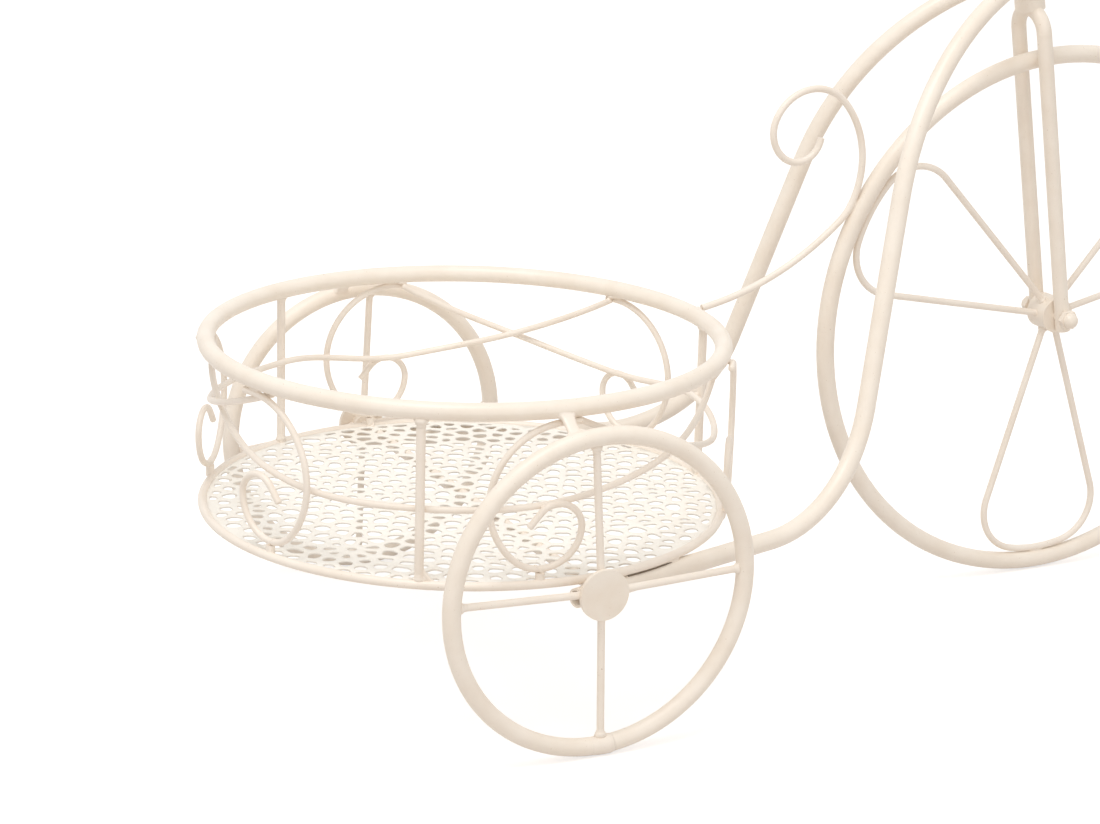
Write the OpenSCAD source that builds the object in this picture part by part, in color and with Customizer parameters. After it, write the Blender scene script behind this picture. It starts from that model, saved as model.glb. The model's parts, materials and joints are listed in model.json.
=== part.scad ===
// Bicycle plant stand: a round wire basket on two fixed rear wheels,
// a pair of bent frame tubes, and a large scrolled front wheel in a fork.
// Millimetres. +X points to the front wheel, +Z is up, the ground is z = 0.
// The origin lies on the ground under the middle of the whole stand.

/* [Basket] */
// Radius of the top rim, to the middle of its tube
rim_r = 175; // [150:1:200]
// Diameter of the rim tube
rim_tube = 12; // [10:0.5:15]
// Height from the floor ring to the rim, middle to middle
basket_h = 114.5; // [108:0.5:150]
// Radius of the floor ring, to the middle of its wire, beyond the rim's
ring_out = 3; // [2:0.5:4]
// Diameter of the floor ring's wire
ring_wire = 6; // [4:0.5:7]
// Thickness of the pierced floor sheet
sheet_t = 0.8; // [0.6:0.1:1.5]
// Spacing of the holes in the floor sheet
hole_pitch = 19; // [17:1:26]
// Width of metal left between two holes
hole_web = 4; // [3:0.5:6]
// Plain border round the holes
sheet_border = 5; // [4:1:12]
// Turn of the three posts about the basket's middle
post_turn = -5; // [-8:1:8]
// Stray of the front, left and right post from their even places
post_stray = [0, -1.5, 1.5]; // [-3:0.5:3]
// Diameter of the three posts
post_d = 6; // [5:0.5:8]

/* [Basket wires] */
// Diameter of the swag and scroll wires
wire_d = 4.5; // [3.5:0.5:5.5]
// Angle from a post to either end of its swag
swag_deg = 86; // [80:1:90]
// Height of the front, left and right swag at its post, above the floor ring
swag_post = [59, 62.5, 48.5]; // [44:0.5:66]
// Height that each swag's left half dips towards
swag_low_left = [49, 62.5, 47.5]; // [40:0.5:66]
// Height that each swag's right half dips towards
swag_low_right = [50, 48.5, 44.5]; // [40:0.5:66]
// How late each swag's left half climbs to the rim
swag_power_left = [2.5, 2.3, 2.5]; // [1.8:0.1:2.8]
// How late each swag's right half climbs to the rim
swag_power_right = [2.2, 2.5, 2.1]; // [1.8:0.1:2.8]
// Distance from a post to the top of a scroll, round the wall
scroll_at = 100; // [95:1:115]
// Radius of a scroll's big bend
scroll_bend = 52; // [46:1:54]
// Radius of a scroll's lower bend
scroll_foot = 27; // [24:1:29]
// Radius of a scroll's curl
scroll_curl = 15.5; // [13:0.5:18]
// Straight wire at a scroll's top
scroll_lead = 8; // [4:1:12]
// Straight wire at the tip of a scroll's curl
scroll_tip = 12; // [6:1:14]
// How much farther from its post each scroll on a post's left stands
scroll_slip_left = [0, 6, 0]; // [-6:1:26]
// How much farther from its post each scroll on a post's right stands
scroll_slip_right = [0, 0, 24]; // [-6:1:26]
// How much farther out each scroll on a post's left stands
scroll_out_left = [0, 4, 0]; // [0:0.5:7]
// How much farther out each scroll on a post's right stands
scroll_out_right = [6, 0, 0]; // [0:0.5:7]

/* [Rear wheels] */
// Radius of a rear wheel, to the middle of its tube
wheel_r = 104.5; // [95:0.5:108]
// Diameter of a rear wheel's tube
wheel_tube = 12; // [10:0.5:14]
// Distance from the rim's middle line out to the middle of a rear wheel
wheel_out = 20.6; // [19:0.2:30]
// Place of the axle in front of the basket's middle
axle_ahead = 8; // [0:1:20]
// Diameter of the axle rod
axle_d = 8; // [6:0.5:10]
// Diameter of the spokes
spoke_d = 5; // [4:0.5:6]
// Stray of the left wheel's upper, front, lower and rear spoke
spoke_stray_left = [2.5, -2, 1.5, -6]; // [-6:0.5:6]
// Stray of the right wheel's upper, front, lower and rear spoke
spoke_stray_right = [-4, -2, -1.5, 2]; // [-6:0.5:6]
// Diameter of the round plate over each hub
disc_d = 34; // [28:1:40]
// Thickness of the round plate
disc_t = 3; // [2:0.5:4]
// Diameter of the hub behind the plate
boss_d = 16; // [14:1:22]
// Length of the hub
boss_l = 7; // [5:0.5:7]
// Width of the strap that holds a wheel to the rim
strap_w = 9; // [8:1:14]
// Distance of the strap behind the axle
strap_back = 20; // [10:1:26]
// Thickness of the strap
strap_t = 4; // [2:0.5:6]

/* [Frame tubes] */
// Diameter of the frame tubes
tube_d = 13; // [11:0.5:13]
// Wall of the frame tubes, hoops and bars
tube_wall = 1.5; // [1:0.1:2]
// Gap between a frame tube and the rear wheel beside it
tube_gap = 2.1; // [1.5:0.1:6]
// Open tube behind the axle
tail_l = 13; // [12:1:18]
// Bend radius where the tube leaves the ground
heel_r = 105; // [80:1:120]
// Steepness of the rising straight
heel_deg = 72.6; // [66:0.2:76]
// Bend radius over the front wheel
crest_r = 212; // [190:1:225]
// Slope at which the tube meets the head post
nose_deg = 14; // [5:1:20]
// Sideways lean of each bent tube's plane
lean = 7.1; // [5:0.1:9]

/* [Front wheel] */
// Radius of the front wheel, to the middle of its tube
hoop_r = 195; // [180:0.5:200]
// Diameter of the front wheel's tube
hoop_tube = 13; // [11:0.5:15]
// Distance from the axle to the front wheel's middle
wheelbase = 473; // [460:1:500]
// Angle of the rear petal, where the stay is welded
petal_at = 151; // [146:1:156]
// Diameter of the petal wire
petal_wire = 5; // [4:0.5:6]
// Radius of a petal's flat top
petal_top = 110; // [90:1:130]
// Half of the angle that the flat top turns through
petal_top_deg = 12; // [9:1:14]
// Radius of a petal's shoulders
petal_side = 33; // [28:1:36]
// Slope of a petal's legs
petal_leg_deg = 108; // [106:0.5:109]
// Diameter of the front hub
hub_d = 26; // [22:1:32]

/* [Stay and ring scroll] */
// Diameter of the stay wire
stay_wire = 5; // [4:0.5:6]
// Place of the stay's foot on the rim tube, up from level
stay_foot_deg = 25; // [20:1:60]
// Angle on the front wheel where the stay is welded
stay_at = 152; // [150:1:155]
// Bend radius just before the weld
stay_kink = 40; // [30:1:60]
// Turn of that bend
stay_kink_deg = 20; // [10:1:26]
// Radius of the first bend past the wheel
stay_bend = 66; // [58:1:74]
// Radius over the ring scroll's top
ring_top = 33.5; // [31:0.5:39]
// Radius down the ring scroll's rear
ring_back = 23.5; // [21:0.5:27]
// Radius of the ring scroll's curl
ring_curl = 18.5; // [16:0.5:21]

/* [Fork and handlebar] */
// Backward lean of the fork and head post
rake = 9.25; // [6:0.25:12]
// Diameter of the fork tube
fork_d = 11; // [9:0.5:13]
// Distance between the fork's legs, middle to middle
fork_w = 32; // [30:1:40]
// Free space between the wheel and the fork's crown
crown_gap = 26; // [20:1:30]
// Fork left below the axle
fork_tip = 10; // [8:1:16]
// Diameter of the head post
post_tube = 22; // [20:1:26]
// Distance from the front hub to where the frame tubes end
head_up = 260; // [256:0.5:268]
// Distance from the frame tubes' ends up to the handlebar
bar_up = 42.5; // [38:0.5:60]
// Diameter of the handlebar tube
bar_d = 13; // [11:0.5:15]
// Straight middle of the handlebar, to one side
bar_mid = 45; // [35:1:60]
// Bend radius of the handlebar
bar_bend = 45; // [35:1:60]
// Backward sweep of the handlebar's ends
bar_sweep = 65; // [50:1:75]
// Straight end of the handlebar
bar_end = 75; // [50:1:90]
// Upward tilt of the handlebar's ends
bar_tilt = 12; // [0:1:25]
// Diameter of the front axle rod
pin_d = 8; // [6:0.5:9]
// Width of the domed nuts across their round
nut_d = 15; // [13:1:18]
// Height of the domed nuts
nut_h = 9; // [7:0.5:12]

/* [Hidden] */
$fn = 64;

// Gap left between two pieces that touch along a line
touch = 0.1;
// Clearance of a rod in its hole, on the radius
bore_gap = 0.05;
// Sides of a swept wire and the length of one of its steps
wire_sides = 8;
step_l = 7;

// Heights, from the ground up
axle_z = wheel_r + wheel_tube / 2;
ring_z = axle_z + axle_d / 2;
sheet_top = ring_z + sheet_t;
rim_z = ring_z + basket_h;
run_z = ring_z - ring_wire / 2 - tube_d / 2 - touch;
hoop_z = hoop_r + hoop_tube / 2;

// Radii of the basket's wall, from the inside out
ring_r = rim_r + ring_out;
sheet_r = ring_r - ring_wire / 2 - touch;
post_r = (rim_r + ring_r) / 2;
swag_r = post_r - post_d / 2 - wire_d / 2 - touch;
scroll_r = swag_r + wire_d + touch;

// Places along the stand, from the basket's middle
axle_x = axle_ahead;
hoop_x = axle_x + wheelbase;
wheel_y = rim_r + wheel_out;
hub_face = wheel_y + spoke_d / 2;
run_y = wheel_y - wheel_tube / 2 - tube_d / 2 - tube_gap;
mid_x = ((hoop_x + hoop_r + hoop_tube / 2) - (ring_r + ring_wire / 2)) / 2;

// Height at which a wire that hangs at radius r touches the rim from below
function under_rim(r) = rim_z
    - sqrt(pow((rim_tube + wire_d) / 2 + touch, 2) - pow(rim_r - r, 2));

// Where a swag's rise at its post has died away, where the swags cross, and
// how far they pass to either side of the wall there
swag_end = under_rim(swag_r);
peak_deg = 34;
cross_deg = 60;
cross_width = 21;
weave = wire_d / 2 + 2 * touch;

// A scroll's lowest point below its top, and the stub under it
scroll_drop = scroll_bend + (scroll_bend - scroll_foot) * sin(45) + scroll_foot;
stub_at = scroll_at - (scroll_bend - scroll_foot) * cos(45);

// A bent frame tube, solved so that it ends on the head post
nose_x = hoop_x - head_up * sin(rake);
nose_y = tube_d / 2 + touch;
nose_z = hoop_z + head_up * cos(rake);
tube_rise = (nose_z - run_z) / cos(lean);
tube_in = tube_rise * sin(lean);
tube_reach = sqrt(pow(nose_x - axle_x, 2) + pow(run_y - nose_y, 2) - tube_in * tube_in);
toe = atan2(run_y - nose_y, nose_x - axle_x) - atan2(tube_in, tube_reach);
rise_l = (tube_rise - heel_r * (1 - cos(heel_deg))
    - crest_r * (cos(nose_deg) - cos(heel_deg))) / sin(heel_deg);
run_l = tube_reach - heel_r * sin(heel_deg) - rise_l * cos(heel_deg)
    - crest_r * (sin(heel_deg) - sin(nose_deg));

// The stay's first bend, solved from its foot on the rim to the kink,
// which is followed backwards from the weld
stay_x = rim_r + ((rim_tube + stay_wire) / 2 + touch) * cos(stay_foot_deg);
stay_z = rim_z + ((rim_tube + stay_wire) / 2 + touch) * sin(stay_foot_deg);
weld_r = hoop_r + (hoop_tube + stay_wire) / 2 + touch;
weld_x = hoop_x + weld_r * cos(stay_at);
weld_z = hoop_z + weld_r * sin(stay_at);
kink_at = turned([weld_x, weld_z, stay_at - 90], -stay_kink, -stay_kink_deg);
stay_span = norm([kink_at[0] - stay_x, kink_at[1] - stay_z]);
stay_slope = atan2(kink_at[1] - stay_z, kink_at[0] - stay_x);
stay_half = kink_at[2] - stay_slope;
stay_first = stay_span / (2 * abs(sin(stay_half)));

// A petal's top and the straight legs down to the hub
petal_out = hoop_r - hoop_tube / 2 - petal_wire / 2 - touch;
shoulder_t = petal_top * sin(petal_top_deg)
    + petal_side * (sin(petal_leg_deg) - sin(petal_top_deg));
shoulder_r = petal_out - petal_top * (1 - cos(petal_top_deg))
    - petal_side * (cos(petal_top_deg) - cos(petal_leg_deg));
leg_l = (shoulder_r - hub_d / 4) / sin(petal_leg_deg);
foot_t = shoulder_t + leg_l * cos(petal_leg_deg);

// Fork and front hub, along the steering line
crown_z = hoop_r + hoop_tube / 2 + crown_gap + fork_d / 2 - fork_w / 2;
bar_z = head_up + bar_up;
hub_l = fork_w - fork_d - 2 * touch;
pin_l = fork_w + fork_d + nut_h;

// Points of a path on a flat sheet: [length] runs straight and
// [radius, degrees] turns left, or right where the degrees are negative.
// Each item keeps its place and heading.
function turned(p, r, a) = [
    p[0] + sign(a) * r * (sin(p[2] + a) - sin(p[2])),
    p[1] - sign(a) * r * (cos(p[2] + a) - cos(p[2])),
    p[2] + a];
function moved(p, d) = [p[0] + d * cos(p[2]), p[1] + d * sin(p[2]), p[2]];
function after(p, m) = len(m) == 1 ? moved(p, m[0]) : turned(p, m[0], m[1]);
function starts(moves, p = [0, 0, 0], i = 0) = i == len(moves) ? [] :
    concat([p], starts(moves, after(p, moves[i]), i + 1));
function steps(p, m) = let (
    length = len(m) == 1 ? m[0] : m[0] * m[1] * PI / 180,
    n = max(1, ceil(length / min(step_l, len(m) == 1 ? step_l : m[0] / 3))))
    [for (k = [1:n]) len(m) == 1 ? moved(p, m[0] * k / n) : turned(p, m[0], m[1] * k / n)];
function path(p, moves, i = 0) = i == len(moves) ? [] :
    concat(steps(p, moves[i]), path(after(p, moves[i]), moves, i + 1));

// A point of the basket's wall: degrees round it, height and radius
function on_wall(a, z, r) = [r * cos(a), r * sin(a), z];

// Corners of a wire swept along points; out holds a sideways line for each
function sweep_ring(p, t, side, d) = let (
    u = side - (side * t) * t,
    n = u / norm(u),
    b = cross(t, n))
    [for (k = [0:wire_sides - 1])
        p + d / 2 * (cos(360 * k / wire_sides) * n + sin(360 * k / wire_sides) * b)];
function heading(pts, i) = let (
    v = pts[min(i + 1, len(pts) - 1)] - pts[max(i - 1, 0)])
    v / norm(v);

// A round wire through a list of points that lie on the basket's wall
module wall_wire(pts, d) {
    n = len(pts);
    s = wire_sides;
    rings = [for (i = [0:n - 1])
        each sweep_ring(pts[i], heading(pts, i), [pts[i][0], pts[i][1], 0], d)];
    sides = [for (i = [0:n - 2], k = [0:s - 1]) let (
        a = i * s + k,
        b = i * s + (k + 1) % s)
        each [[a, a + s, b], [b, a + s, b + s]]];
    start = [for (k = [1:s - 2]) [0, k, k + 1]];
    end = [for (k = [1:s - 2]) let (o = (n - 1) * s) [o, o + k + 1, o + k]];
    polyhedron(rings, concat(sides, start, end));
}

// A rod that follows straight [length] and bent [radius, degrees] moves
// in the XY plane, starting at the origin along +X. A ball a little fatter
// than the rod closes the joint between two moves.
module rod(moves, d) {
    at = starts(moves);
    for (i = [0:len(moves) - 1]) translate([at[i][0], at[i][1], 0]) rotate([0, 0, at[i][2]]) {
        m = moves[i];
        if (i > 0) rotate([0, 90, 0]) sphere(d = d + 2 * touch);
        if (len(m) == 1) {
            rotate([0, 90, 0]) cylinder(h = m[0], d = d);
        } else {
            translate([0, sign(m[1]) * m[0], 0])
                rotate([0, 0, m[1] > 0 ? -90 : 90 + m[1]])
                rotate_extrude(angle = abs(m[1])) translate([m[0], 0]) circle(d = d);
        }
    }
}

// A closed hoop about Z, solid or hollow
module hoop(r, d, bore = 0) {
    rotate_extrude($fn = 240) translate([r, 0]) difference() {
        circle(d = d, $fn = 48);
        if (bore > 0) circle(d = bore, $fn = 48);
    }
}

// The stand's pieces are drawn about the basket's middle and moved once
module placed() {
    color("ivory") translate([-mid_x, 0, 0]) children();
}

// Envelopes, also used to cut back what is welded to them
module rim_solid() {
    translate([0, 0, rim_z]) hoop(rim_r, rim_tube);
}
module ring_solid() {
    translate([0, 0, ring_z]) hoop(ring_r, ring_wire);
}
module axle_solid(d) {
    translate([axle_x, 0, axle_z]) rotate([90, 0, 0])
        cylinder(h = 2 * hub_face, d = d, center = true);
}
module wheel_solid(side) {
    translate([axle_x, side * wheel_y, axle_z]) rotate([90, 0, 0]) hoop(wheel_r, wheel_tube);
}

// Basket
module basket_rim() {
    placed() translate([0, 0, rim_z]) hoop(rim_r, rim_tube, rim_tube - 2 * tube_wall);
}
module floor_ring() {
    placed() ring_solid();
}

// One hole's outline: a pebble with six uneven corners
function pebble(i, j) = [for (k = [0:5]) let (
    r = (hole_pitch - hole_web) / 2 * (1 + 0.12 * sin(97 * i + 61 * j + 150 * k)))
    r * [cos(60 * k + 30), sin(60 * k + 30)]];

module basket_floor() {
    rows = ceil(sheet_r / (hole_pitch * sin(60)));
    limit = sheet_r - sheet_border - hole_pitch / 2;
    placed() translate([0, 0, ring_z]) linear_extrude(sheet_t) difference() {
        circle(r = sheet_r, $fn = 180);
        for (j = [-rows:rows], i = [-rows - 2:rows + 2]) {
            at = [hole_pitch * (i + (abs(j) % 2) / 2), hole_pitch * sin(60) * j];
            if (norm(at) < limit && norm(at) > hole_pitch / 2)
                translate(at) polygon(pebble(i, j));
        }
        for (p = [0:2]) {
            rotate(post_a(p)) translate([post_r, 0]) circle(d = post_d + 2 * touch);
            for (side = [-1, 1]) rotate(scroll_a(p, side, stub_at))
                translate([scroll_r + scroll_out(p, side), 0]) circle(d = ring_wire + 2 * touch);
        }
    }
}

module post(a) {
    placed() difference() {
        translate(on_wall(a, sheet_top + touch, post_r))
            cylinder(h = rim_z - sheet_top - touch, d = post_d);
        rim_solid();
        ring_solid();
    }
}

// The front, left and right posts are 0, 1 and 2
function even_a(p) = post_turn + 120 * p;
function post_a(p) = even_a(p) + post_stray[p];

// Each swag hangs from the rim, dips near its post and climbs again.
// It passes outside one neighbour and inside the other.
function bump(x) = abs(x) < 1 ? pow(cos(90 * x), 2) : 0;
function swag_z(p, x) = let (
    low = ring_z + (x > 0 ? swag_low_left : swag_low_right)[p],
    power = (x > 0 ? swag_power_left : swag_power_right)[p],
    peak = ring_z + swag_post[p] - low)
    low + (swag_end - low) * pow(abs(x) / swag_deg, power) + peak * bump(x / peak_deg);
function swag_point(p, x) = on_wall(post_a(p) + x, swag_z(p, x),
    swag_r + weave * (bump((x - cross_deg) / cross_width) - bump((x + cross_deg) / cross_width)));
module swag(p) {
    n = ceil(swag_deg * swag_r * PI / 180 / step_l);
    placed() wall_wire([for (k = [-n:n]) swag_point(p, swag_deg * k / n)], wire_d);
}

// A scroll hangs under the rim, bends down and curls up inside itself.
// It is bent flat, so it stands a little off the round wall at its sides.
scroll_moves = [
    [scroll_lead], [scroll_bend, 135], [scroll_foot, 135], [scroll_curl, 140], [scroll_tip]];
function scroll_slip(p, side) = (side > 0 ? scroll_slip_left : scroll_slip_right)[p];
function scroll_out(p, side) = (side > 0 ? scroll_out_left : scroll_out_right)[p];
function scroll_a(p, side, s) = even_a(p)
    + side * (s + scroll_slip(p, side)) / post_r * 180 / PI;
function scroll_point(p, side, s, z) = on_wall(scroll_a(p, side, s), z,
    scroll_r + scroll_out(p, side) + pow(s - stub_at, 2) / (2 * scroll_r));
module scroll(p, side) {
    start = [scroll_at + scroll_lead, under_rim(scroll_r + scroll_out(p, side)), 180];
    flat = concat([start], path(start, scroll_moves));
    placed() wall_wire([for (q = flat) scroll_point(p, side, q[0], q[1])], wire_d);
}
module scroll_stubs() {
    placed() for (p = [0:2], side = [-1, 1]) difference() {
        r = scroll_r + scroll_out(p, side);
        low = under_rim(r) - scroll_drop - wire_d / 2;
        translate(on_wall(scroll_a(p, side, stub_at), sheet_top + touch, r))
            cylinder(h = low - sheet_top - 2 * touch, d = ring_wire);
        ring_solid();
    }
}

// Rear wheels
module rear_axle() {
    placed() difference() {
        axle_solid(axle_d);
        ring_solid();
    }
}
module wheel_hoop(side) {
    placed() translate([axle_x, side * wheel_y, axle_z]) rotate([90, 0, 0])
        hoop(wheel_r, wheel_tube, wheel_tube - 2 * tube_wall);
}
module wheel_spokes(side) {
    stray = side > 0 ? spoke_stray_left : spoke_stray_right;
    placed() for (k = [0:3]) difference() {
        translate([axle_x, side * wheel_y, axle_z]) rotate([0, 90 * k + stray[k], 0])
            cylinder(h = wheel_r, d = spoke_d);
        wheel_solid(side);
        boss_solid(side);
    }
}
module boss_solid(side) {
    translate([axle_x, side * hub_face, axle_z]) rotate([side * 90, 0, 0])
        cylinder(h = boss_l, d = boss_d);
}
module hub_boss(side) {
    placed() difference() {
        boss_solid(side);
        axle_solid(axle_d + 2 * bore_gap);
    }
}
module hub_disc(side) {
    placed() translate([axle_x, side * (hub_face + disc_t / 2), axle_z]) rotate([90, 0, 0])
        cylinder(h = disc_t, d = disc_d, center = true);
}
module wheel_strap(side) {
    strap_x = axle_x - strap_back;
    rim_y = sqrt(rim_r * rim_r - strap_x * strap_x);
    drop = axle_z + sqrt(wheel_r * wheel_r - strap_back * strap_back) - rim_z;
    length = norm([wheel_y - rim_y, drop]);
    placed() difference() {
        translate([strap_x, side * rim_y, rim_z])
            rotate([side * atan2(drop, wheel_y - rim_y), 0, 0])
            translate([-strap_w / 2, side > 0 ? 0 : -length, -strap_t / 2])
            cube([strap_w, length, strap_t]);
        rim_solid();
        wheel_solid(side);
    }
}

// Frame tubes, each bent in one leaning sheet, with an open rear end
module tube_sheet() {
    translate([axle_x, run_y, run_z]) rotate([0, 0, -toe]) rotate([90 + lean, 0, 0])
        translate([-tail_l, 0, 0]) children();
}
module frame_tube() {
    difference() {
        tube_sheet() rod([[tail_l + run_l], [heel_r, heel_deg], [rise_l],
            [crest_r, nose_deg - heel_deg]], tube_d);
        tube_sheet() translate([-1, 0, 0]) rotate([0, 90, 0])
            cylinder(h = tail_l + run_l, d = tube_d - 2 * tube_wall);
        axle_solid(axle_d);
        head_solid();
    }
}
module frame_tube_left() {
    placed() frame_tube();
}
module frame_tube_right() {
    placed() mirror([0, 1, 0]) frame_tube();
}

// The stay climbs from the rim, is welded to the front wheel and ends in
// a ring scroll; it lies in the wheel's plane
module stay_scroll() {
    placed() translate([stay_x, 0, stay_z]) rotate([90, 0, 0])
        rotate([0, 0, stay_slope - stay_half])
        rod([[stay_first, 2 * stay_half], [stay_kink, stay_kink_deg], [stay_bend, 70],
            [ring_top, 112], [ring_back, 81], [ring_curl, 118]], stay_wire);
}

// Front wheel
module front_hoop() {
    placed() translate([hoop_x, 0, hoop_z]) rotate([90, 0, 0])
        hoop(hoop_r, hoop_tube, hoop_tube - 2 * tube_wall);
}
module petal(a) {
    turn = petal_leg_deg - petal_top_deg;
    placed() difference() {
        translate([hoop_x, 0, hoop_z]) rotate([90, 0, 0]) rotate([0, 0, a - 90])
            translate([foot_t, hub_d / 4, 0]) rotate([0, 0, 180 - petal_leg_deg])
            rod([[leg_l], [petal_side, turn], [petal_top, 2 * petal_top_deg],
                [petal_side, turn], [leg_l]], petal_wire);
        hub_solid();
    }
}
module hub_solid() {
    translate([hoop_x, 0, hoop_z]) rotate([90, 0, 0])
        cylinder(h = hub_l, d = hub_d, center = true);
}
module pin_solid(d, l) {
    translate([hoop_x, 0, hoop_z]) rotate([90, 0, 0]) cylinder(h = l, d = d, center = true);
}
module front_hub() {
    placed() difference() {
        hub_solid();
        pin_solid(pin_d + 2 * bore_gap, fork_w);
    }
}
module front_axle() {
    placed() pin_solid(pin_d, pin_l);
}
module axle_nuts() {
    dome_d = nut_d * 0.8;
    placed() for (side = [-1, 1]) difference() {
        translate([hoop_x, side * (fork_w / 2 + fork_d / 2 + touch), hoop_z])
            rotate([-side * 90, 0, 0]) {
                cylinder(h = nut_h / 2, d = nut_d, $fn = 6);
                translate([0, 0, nut_h / 2]) dome(dome_d);
            }
        pin_solid(pin_d + 2 * bore_gap, pin_l + 2 * touch);
    }
}
module dome(d) {
    rotate_extrude() intersection() {
        circle(d = d);
        square(d);
    }
}

// Fork, head post and handlebar, along the leaning steering line
module steering() {
    translate([hoop_x, 0, hoop_z]) rotate([0, -rake, 0]) children();
}
module fork_solid() {
    steering() translate([0, -fork_w / 2, -fork_tip]) rotate([0, -90, 0])
        rod([[fork_tip + crown_z], [fork_w / 2, 180], [fork_tip + crown_z]], fork_d);
}
module fork() {
    placed() difference() {
        fork_solid();
        pin_solid(pin_d + 2 * bore_gap, pin_l + nut_d);
    }
}
module head_solid() {
    steering() translate([0, 0, crown_z + fork_w / 2])
        cylinder(h = bar_z - crown_z - fork_w / 2, d = post_tube);
}
module head_post() {
    placed() difference() {
        head_solid();
        fork_solid();
        bar_solid();
    }
}

// The bar lies in one sheet, tilted so that its swept ends rise
bar_moves = [[bar_mid], [bar_bend, bar_sweep], [bar_end]];
bar_back = bar_bend * (1 - cos(bar_sweep)) + bar_end * sin(bar_sweep);
bar_side = bar_mid + bar_bend * sin(bar_sweep) + bar_end * cos(bar_sweep);
module bar_sheet() {
    steering() translate([0, 0, bar_z]) rotate([0, rake + bar_tilt, 0]) children();
}
module bar_solid() {
    bar_sheet() for (side = [0, 1]) mirror([0, side, 0]) rotate([0, 0, 90])
        rod(bar_moves, bar_d);
}
// The bar's open end on one side, facing out along +Z
module bar_tip(side) {
    bar_sheet() translate([-bar_back, side * bar_side, 0])
        rotate([0, 0, side * (90 + bar_sweep)]) rotate([0, 90, 0]) children();
}
module handlebar() {
    placed() difference() {
        bar_solid();
        for (side = [-1, 1]) bar_tip(side) translate([0, 0, bar_d - bar_end])
            cylinder(h = bar_end - bar_d + 1, d = bar_d - 2 * tube_wall);
    }
}
module bar_plug(side) {
    placed() bar_tip(side) {
        translate([0, 0, -bar_d])
            cylinder(h = bar_d, d = bar_d - 2 * tube_wall - 2 * bore_gap);
        dome(bar_d);
    }
}
basket_rim();
floor_ring();
basket_floor();
post(post_a(0));  // post_front
post(post_a(1));  // post_left
post(post_a(2));  // post_right
swag(0);  // swag_front
swag(1);  // swag_left
swag(2);  // swag_right
scroll(0, 1);  // scroll_front_left
scroll(0, -1);  // scroll_front_right
scroll(1, -1);  // scroll_left_front
scroll(1, 1);  // scroll_left_rear
scroll(2, 1);  // scroll_right_front
scroll(2, -1);  // scroll_right_rear
scroll_stubs();
rear_axle();
wheel_hoop(1);  // wheel_hoop_left
wheel_hoop(-1);  // wheel_hoop_right
wheel_spokes(1);  // wheel_spokes_left
wheel_spokes(-1);  // wheel_spokes_right
hub_boss(1);  // hub_boss_left
hub_boss(-1);  // hub_boss_right
hub_disc(1);  // hub_disc_left
hub_disc(-1);  // hub_disc_right
wheel_strap(1);  // wheel_strap_left
wheel_strap(-1);  // wheel_strap_right
frame_tube_left();
frame_tube_right();
stay_scroll();
front_hoop();
petal(petal_at);  // petal_rear
petal(petal_at - 120);  // petal_front
petal(petal_at + 120);  // petal_lower
front_hub();
front_axle();
axle_nuts();
fork();
head_post();
handlebar();
bar_plug(1);  // bar_plug_left
bar_plug(-1);  // bar_plug_right
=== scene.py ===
"""Bicycle plant stand: finish, round wires, pierced floor, welds, straps, stage, light and
camera.

Metres. +X points to the front wheel, +Z is up, and the ground is z = 0. The stand's wires are
laid out about the basket's middle and moved to their place by here().
"""
import json
import math
import random

import bmesh
import bpy
import numpy as np
from mathutils import Matrix, Quaternion, Vector, noise


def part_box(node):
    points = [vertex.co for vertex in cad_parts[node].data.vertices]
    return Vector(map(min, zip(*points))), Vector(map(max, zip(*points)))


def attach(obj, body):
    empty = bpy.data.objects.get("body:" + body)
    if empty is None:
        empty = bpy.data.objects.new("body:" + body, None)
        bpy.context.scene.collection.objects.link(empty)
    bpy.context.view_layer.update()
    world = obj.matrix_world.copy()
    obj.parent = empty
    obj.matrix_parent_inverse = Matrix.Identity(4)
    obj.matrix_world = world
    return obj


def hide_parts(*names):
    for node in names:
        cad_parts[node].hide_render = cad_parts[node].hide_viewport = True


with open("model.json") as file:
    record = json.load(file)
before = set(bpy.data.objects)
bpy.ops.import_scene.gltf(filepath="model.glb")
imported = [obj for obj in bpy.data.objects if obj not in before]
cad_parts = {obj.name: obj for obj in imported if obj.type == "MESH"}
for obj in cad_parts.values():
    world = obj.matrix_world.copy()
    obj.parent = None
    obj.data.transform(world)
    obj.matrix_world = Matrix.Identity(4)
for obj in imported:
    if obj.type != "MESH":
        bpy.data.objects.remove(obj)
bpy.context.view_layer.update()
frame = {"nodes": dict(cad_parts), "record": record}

MM = 0.001

# Basket
RIM_R = 175 * MM
RIM_TUBE = 12 * MM
RIM_Z = 229 * MM
RING_R = 178 * MM
RING_WIRE = 6 * MM
RING_Z = 114.5 * MM
POST_R = 176.5 * MM
POST_D = 6 * MM
POST_TURN = -5
POST_STRAY = (0, -1.5, 1.5)
WIRE_D = 4.5 * MM
TOUCH = 0.1 * MM
SWAG_R = POST_R - POST_D / 2 - WIRE_D / 2 - TOUCH
SCROLL_R = SWAG_R + WIRE_D + TOUCH
# Swags: half span, height at the post, lowest height and steepness on each side
SWAG_DEG = 86
SWAG_POST = (59 * MM, 62.5 * MM, 48.5 * MM)
SWAG_LOW_LEFT = (49 * MM, 62.5 * MM, 47.5 * MM)
SWAG_LOW_RIGHT = (50 * MM, 48.5 * MM, 44.5 * MM)
SWAG_POWER_LEFT = (2.5, 2.3, 2.5)
SWAG_POWER_RIGHT = (2.2, 2.5, 2.1)
# Half widths of a swag's peak and of its crossings, which lie CROSS_DEG from the post
PEAK_DEG = 34
CROSS_DEG = 60
CROSS_WIDTH = 21
WEAVE = WIRE_D / 2 + 2 * TOUCH
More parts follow.
